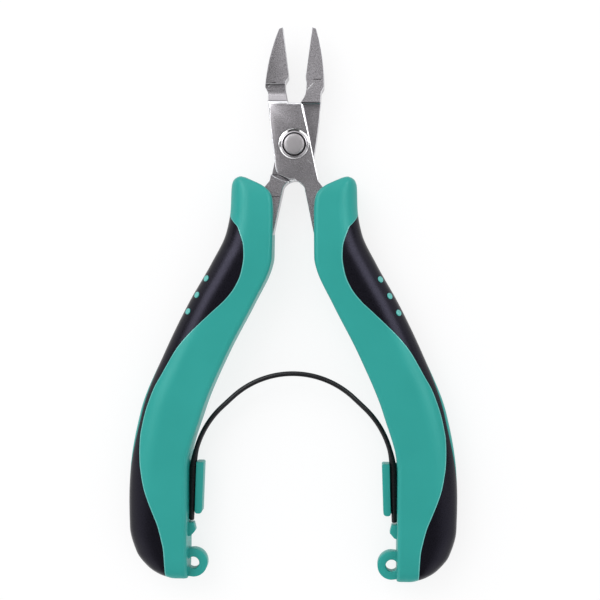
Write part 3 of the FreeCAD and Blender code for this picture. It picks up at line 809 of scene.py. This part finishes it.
def stud(name, body, top, axis):
    """A stud whose axis meets the skin at top, with a paler rim painted on as a highlight."""
    first = axis.orthogonal().normalized()
    second = axis.cross(first)
    rings = [[top + axis * rise + radius * (first * math.cos(turn) + second * math.sin(turn))
              for turn in turns(28)] for radius, rise in STUD_FORM]
    obj = new_piece(name, "green_plastic", body)
    obj.data.materials.append(MATERIALS["green_highlight"])
    skin(obj, rings, crease=180)
    for face in obj.data.polygons:
        rise = (face.center / MM - top).dot(axis)
        face.material_index = int(STUD_PALE[0] < rise < STUD_PALE[1])


def stud_set(name, body, mirror):
    """Two rows of three studs of the green plastic, which stand through the overmould."""
    down, out = math.cos(STUD_SLOPE), math.sin(STUD_SLOPE)
    for side, row in ((1, "front"), (-1, "back")):
        for number in range(3):
            along = number * STUD_PITCH
            foot = Vector((STUD_FIRST[0] + along * out, -STUD_FIRST[1] - along * down,
                           side * STUD_HALF_GAP))
            axis = Vector((down * math.cos(STUD_TILT), out * math.cos(STUD_TILT),
                           side * math.sin(STUD_TILT)))
            reach = 2.0
            while under_skin(foot + axis * reach):
                reach += 0.01
            foot.x, axis.x = mirror * foot.x, mirror * axis.x
            stud("%s_stud_%s%d" % (name, row, number + 1), body,
                 PIVOT + foot + axis * reach, axis)


def slab(name, body, outline, low, high, mirror, edge=0.18):
    """A moulded plate with eased edges, drawn as (out, drop) and from low to high."""
    obj = new_piece(name, "green_plastic", body)
    obj.data = prism(outline, low, high,
                     lambda u, v, w: (PIVOT + Vector((mirror * u, -v, w))) * MM)
    obj.data.materials.append(MATERIALS["green_plastic"])
    ease_edges(obj, [(lambda a, b: True, edge, 3, 0)], 40)


def spring_seat(name, body, mirror):
    """The clip that holds the wire's end against the grip, and the stop below it."""
    clip = loop([(23.25, 76.3), (21.9, 76.3), (21.45, 76.8, 21.58, 76.42), (21.85, 88.0),
                 (22.5, 88.8, 22.05, 88.57), (23.0, 88.8), (23.6, 88.2, 23.45, 88.62)], 6)
    slab(name + "_clip_wall", body, clip, -2.8, 1.6, mirror)
    web = [(23.0, 76.5), (25.7, 76.5), (25.7, 88.6), (23.0, 88.6)]
    slab(name + "_clip_web", body, web, -2.7, -0.75, mirror, 0.1)
    stop = [(25.7, 91.0), (23.85, 91.0), (23.4, 92.9), (24.5, 94.2), (25.7, 94.4)]
    slab(name + "_wire_stop", body, stop, -1.5, 1.5, mirror)


EYE_OUT, EYE_RADIUS, EYE_HOLE, EYE_HALF = 23.9, 3.4, 1.45, 1.6
EYE_REACH, ROOT_STEP, ROOT_FROM = 2.6, 0.12, 0.3
# (how far in from the edge, how far below the face) round each rim of the eye
EYE_EDGE = [(0, 0.2), (0.06, 0.06), (0.2, 0)]


def lanyard_eye(name, body, mirror):
    """The round lug at the end of the grip; its root is sunk in the grip's body."""
    drop = GRIP_END - EYE_RADIUS

    def outline(turn, inset):
        rim = EYE_RADIUS - inset
        across, down = math.cos(turn), abs(math.sin(turn))
        if across > 0:
            rim -= ROOT_STEP * min(across / ROOT_FROM, 1)
            rim = min(rim / max(down, 1e-6), EYE_REACH / across)
        return EYE_OUT + rim * across, drop - rim * math.sin(turn)

    def circle(turn, inset):
        rim = EYE_HOLE + inset
        return EYE_OUT + rim * math.cos(turn), drop - rim * math.sin(turn)

    inwards = list(reversed(EYE_EDGE))
    section = [(outline, -1, EYE_EDGE), (circle, -1, inwards),
               (circle, 1, EYE_EDGE), (outline, 1, inwards)]
    rings = []
    for way, side, edge in section:
        for inset, below in edge:
            rings.append([PIVOT + Vector((mirror * x, -y, side * (EYE_HALF - below)))
                          for x, y in (way(turn, inset) for turn in turns(96))])
    rings.append(rings[0])
    obj = new_piece(name + "_lanyard_lug", "green_plastic", body)
    skin(obj, rings, cap=False)


pivot()
for name, body, mirror in (("right", RIGHT, 1), ("left", LEFT, -1)):
    grip(name, body, mirror)
    stud_set(name, body, mirror)
    spring_seat(name, body, mirror)
    lanyard_eye(name, body, mirror)


# Spring

BOW_DROP, BOW_RADIUS, BOW_HALF = 54.9, 21.5, math.radians(43)
STRAIGHT, SIDE_RADIUS, SIDE_TURN = 3.4, 22.0, math.radians(46)
WIRE_END_DROP, WIRE_RADIUS, WIRE_LEAN = 90.6, 0.6, math.radians(1.7)
ARC_STEPS, END_STEPS, WIRE_SIDES = 39, 16, 20
CUT_SHARE, CUT_LENGTH = 0.72, 0.17
# Half widths of the wire by drop: its ends are flattened to fill the clips
WIRE_FLAT = [(73.0, 0.6), (78.0, 0.84), (84.0, 0.79), (88.0, 0.66), (91.0, 0.63)]


def wire_half():
    """The right half of the bow, from its top to its end, as (x, drop)."""
    spots = []
    centre = BOW_DROP + BOW_RADIUS
    for step in range(ARC_STEPS + 1):
        angle = BOW_HALF * step / ARC_STEPS
        spots.append((BOW_RADIUS * math.sin(angle), centre - BOW_RADIUS * math.cos(angle)))
    x, drop = spots[-1]
    start = (x + STRAIGHT * math.cos(BOW_HALF), drop + STRAIGHT * math.sin(BOW_HALF))
    side = (start[0] - SIDE_RADIUS * math.sin(BOW_HALF),
            start[1] + SIDE_RADIUS * math.cos(BOW_HALF))
    for step in range(ARC_STEPS + 1):
        angle = BOW_HALF + SIDE_TURN * step / ARC_STEPS
        spots.append((side[0] + SIDE_RADIUS * math.sin(angle),
                      side[1] - SIDE_RADIUS * math.cos(angle)))
    x, drop = spots[-1]
    for step in range(1, END_STEPS + 1):
        run = (WIRE_END_DROP - drop) * step / END_STEPS
        spots.append((x + run * math.tan(WIRE_LEAN), drop + run))
    return spots


def spring():
    """The bow of round wire, flattened in the clips, with eased cuts at its ends."""
    half = wire_half()
    line = [(-x, drop) for x, drop in reversed(half)] + half[1:]
    spots = [PIVOT + Vector((x, -drop, 0)) for x, drop in line]
    rings = []
    for number, spot in enumerate(spots):
        before = spots[max(number - 1, 0)]
        after = spots[min(number + 1, len(spots) - 1)]
        along = (after - before).normalized()
        across = along.cross(Vector((0, 0, 1)))
        flat = curve(WIRE_FLAT, PIVOT.y - spot.y)
        rings.append([spot + across * (flat * math.cos(turn))
                      + Vector((0, 0, WIRE_RADIUS ** 2 / flat * math.sin(turn)))
                      for turn in turns(WIRE_SIDES)])
    for end, inside in ((0, 1), (-1, -2)):
        away = (spots[end] - spots[inside]).normalized()
        rim = [spots[end] + (point - spots[end]) * CUT_SHARE for point in rings[end]]
        rings[end] = [point - away * CUT_LENGTH for point in rings[end]]
        rings.insert(0 if end == 0 else len(rings), rim)
    obj = new_piece("bow_spring", "black_wire")
    skin(obj, rings, crease=180)
    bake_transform(obj)
    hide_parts("return_spring")


spring()


# Studio

# Sizes of the studio are in metres
FLOOR_SIDE, FLOOR_GAP = 12.0, 0.00002
FLOOR_GLOW = 0.78
KEY_PLACE, KEY_SIZE, KEY_POWER = Vector((-0.55, 0.75, 0.85)), 0.9, 5.0
ALL_ROUND = 0.9
# Directions of the softboxes and of the tent's posts, and the cosines at which a post fades
SOFTBOX_AIM, SOFTBOX_POWER = (0.591, 0.314, 0.743), 5.4
POSTS = ((0.991, 0.131), (-0.978, 0.208))
POST_EDGE = (0.962, 0.984)


def key_light():
    data = bpy.data.lights.new("key", "AREA")
    data.shape = "SQUARE"
    data.size = KEY_SIZE
    data.energy = KEY_POWER
    obj = bpy.data.objects.new("key", data)
    bpy.context.scene.collection.objects.link(obj)
    obj.location = KEY_PLACE
    obj.rotation_euler = (-KEY_PLACE).to_track_quat("-Z", "Y").to_euler()


def floor():
    mesh = bpy.data.meshes.new("floor")
    obj = bpy.data.objects.new("floor", mesh)
    bpy.context.scene.collection.objects.link(obj)
    work = bmesh.new()
    level = cad_box[0][2] - FLOOR_GAP
    bmesh.ops.create_grid(work, x_segments=1, y_segments=1, size=FLOOR_SIDE / 2,
                          matrix=Matrix.Translation((0, 0, level)))
    work.to_mesh(mesh)
    work.free()
    paint = Paint("floor_paint", Roughness=0.9, Specular_IOR_Level=0.0,
                  Emission_Color=(1.0, 1.0, 1.0, 1.0), Emission_Strength=FLOOR_GLOW)
    mesh.materials.append(paint.set(Base_Color=linear(128, 128, 129)))


def sky():
    """A light tent: dim overhead, bright all round, with an opening, the posts of its frame
    and two softboxes, all of which only reflections show."""
    world = bpy.data.worlds.new("studio")
    bpy.context.scene.world = world
    world.use_nodes = True
    board = Board(world.node_tree)
    back = board.tree.nodes["Background"]
    towards = board.node("ShaderNodeTexCoord", {}, output="Generated")
    x, y, z = board.split(towards)
    flat = board.math("SQRT", x * x + y * y + 0.0001)
    glow = board.fade(z, 0.45, 0.94, 1.45, 0.38)
    belt = board.both(board.fade(z, 0.12, 0.2), board.fade(z, 0.82, 0.7))
    dark = board.both(belt, board.fade(y / flat, -0.84, -0.92))
    for across, ahead in POSTS:
        post = board.fade((x * across + y * ahead) / flat, *POST_EDGE)
        dark = board.either(dark, board.both(belt, post))
    boxes = 0
    right, ahead, up = SOFTBOX_AIM
    for across in (-right, right):
        aimed = board.node("ShaderNodeVectorMath", {0: towards, 1: (across, ahead, up)},
                           output="Value", operation="DOT_PRODUCT")
        boxes = board.fade(aimed, 0.93, 0.985) + boxes
    mirrored = glow * (1 - dark * 0.96) + boxes * SOFTBOX_POWER
    seen = board.node("ShaderNodeLightPath", {}, output="Is Camera Ray")
    shiny = board.node("ShaderNodeLightPath", {}, output="Is Glossy Ray")
    lit = mirrored * shiny + (1 - shiny) * ALL_ROUND
    board.feed(back.inputs["Strength"], lit * (1 - seen) + seen)
    back.inputs["Color"].default_value = (1.0, 1.0, 1.0, 1.0)


floor()
sky()
key_light()

# The camera looks down on the tool, a little from one side
AIM = Vector((1.496, 0.959, 5.8))
DISTANCE = 300.0
PIXELS_PER_MM, IMAGE_WIDTH = 4.1588, 600
PITCH, YAW, ROLL = (math.radians(angle) for angle in (-1.367, 2.5, 0.311))


def camera():
    data = bpy.data.cameras.new("camera")
    obj = bpy.data.objects.new("camera", data)
    bpy.context.scene.collection.objects.link(obj)
    turn = (Matrix.Rotation(ROLL, 3, "Z") @ Matrix.Rotation(YAW, 3, "Y")
            @ Matrix.Rotation(PITCH, 3, "X"))
    place = AIM + turn @ Vector((0, 0, DISTANCE))
    obj.matrix_world = Matrix.Translation(place * MM) @ turn.to_4x4()
    data.sensor_width = 36.0
    data.lens = PIXELS_PER_MM * DISTANCE / IMAGE_WIDTH * data.sensor_width
    data.clip_start = 0.01
    data.clip_end = 50.0
    bpy.context.scene.camera = obj


camera()
bpy.context.scene.view_settings.view_transform = "Standard"
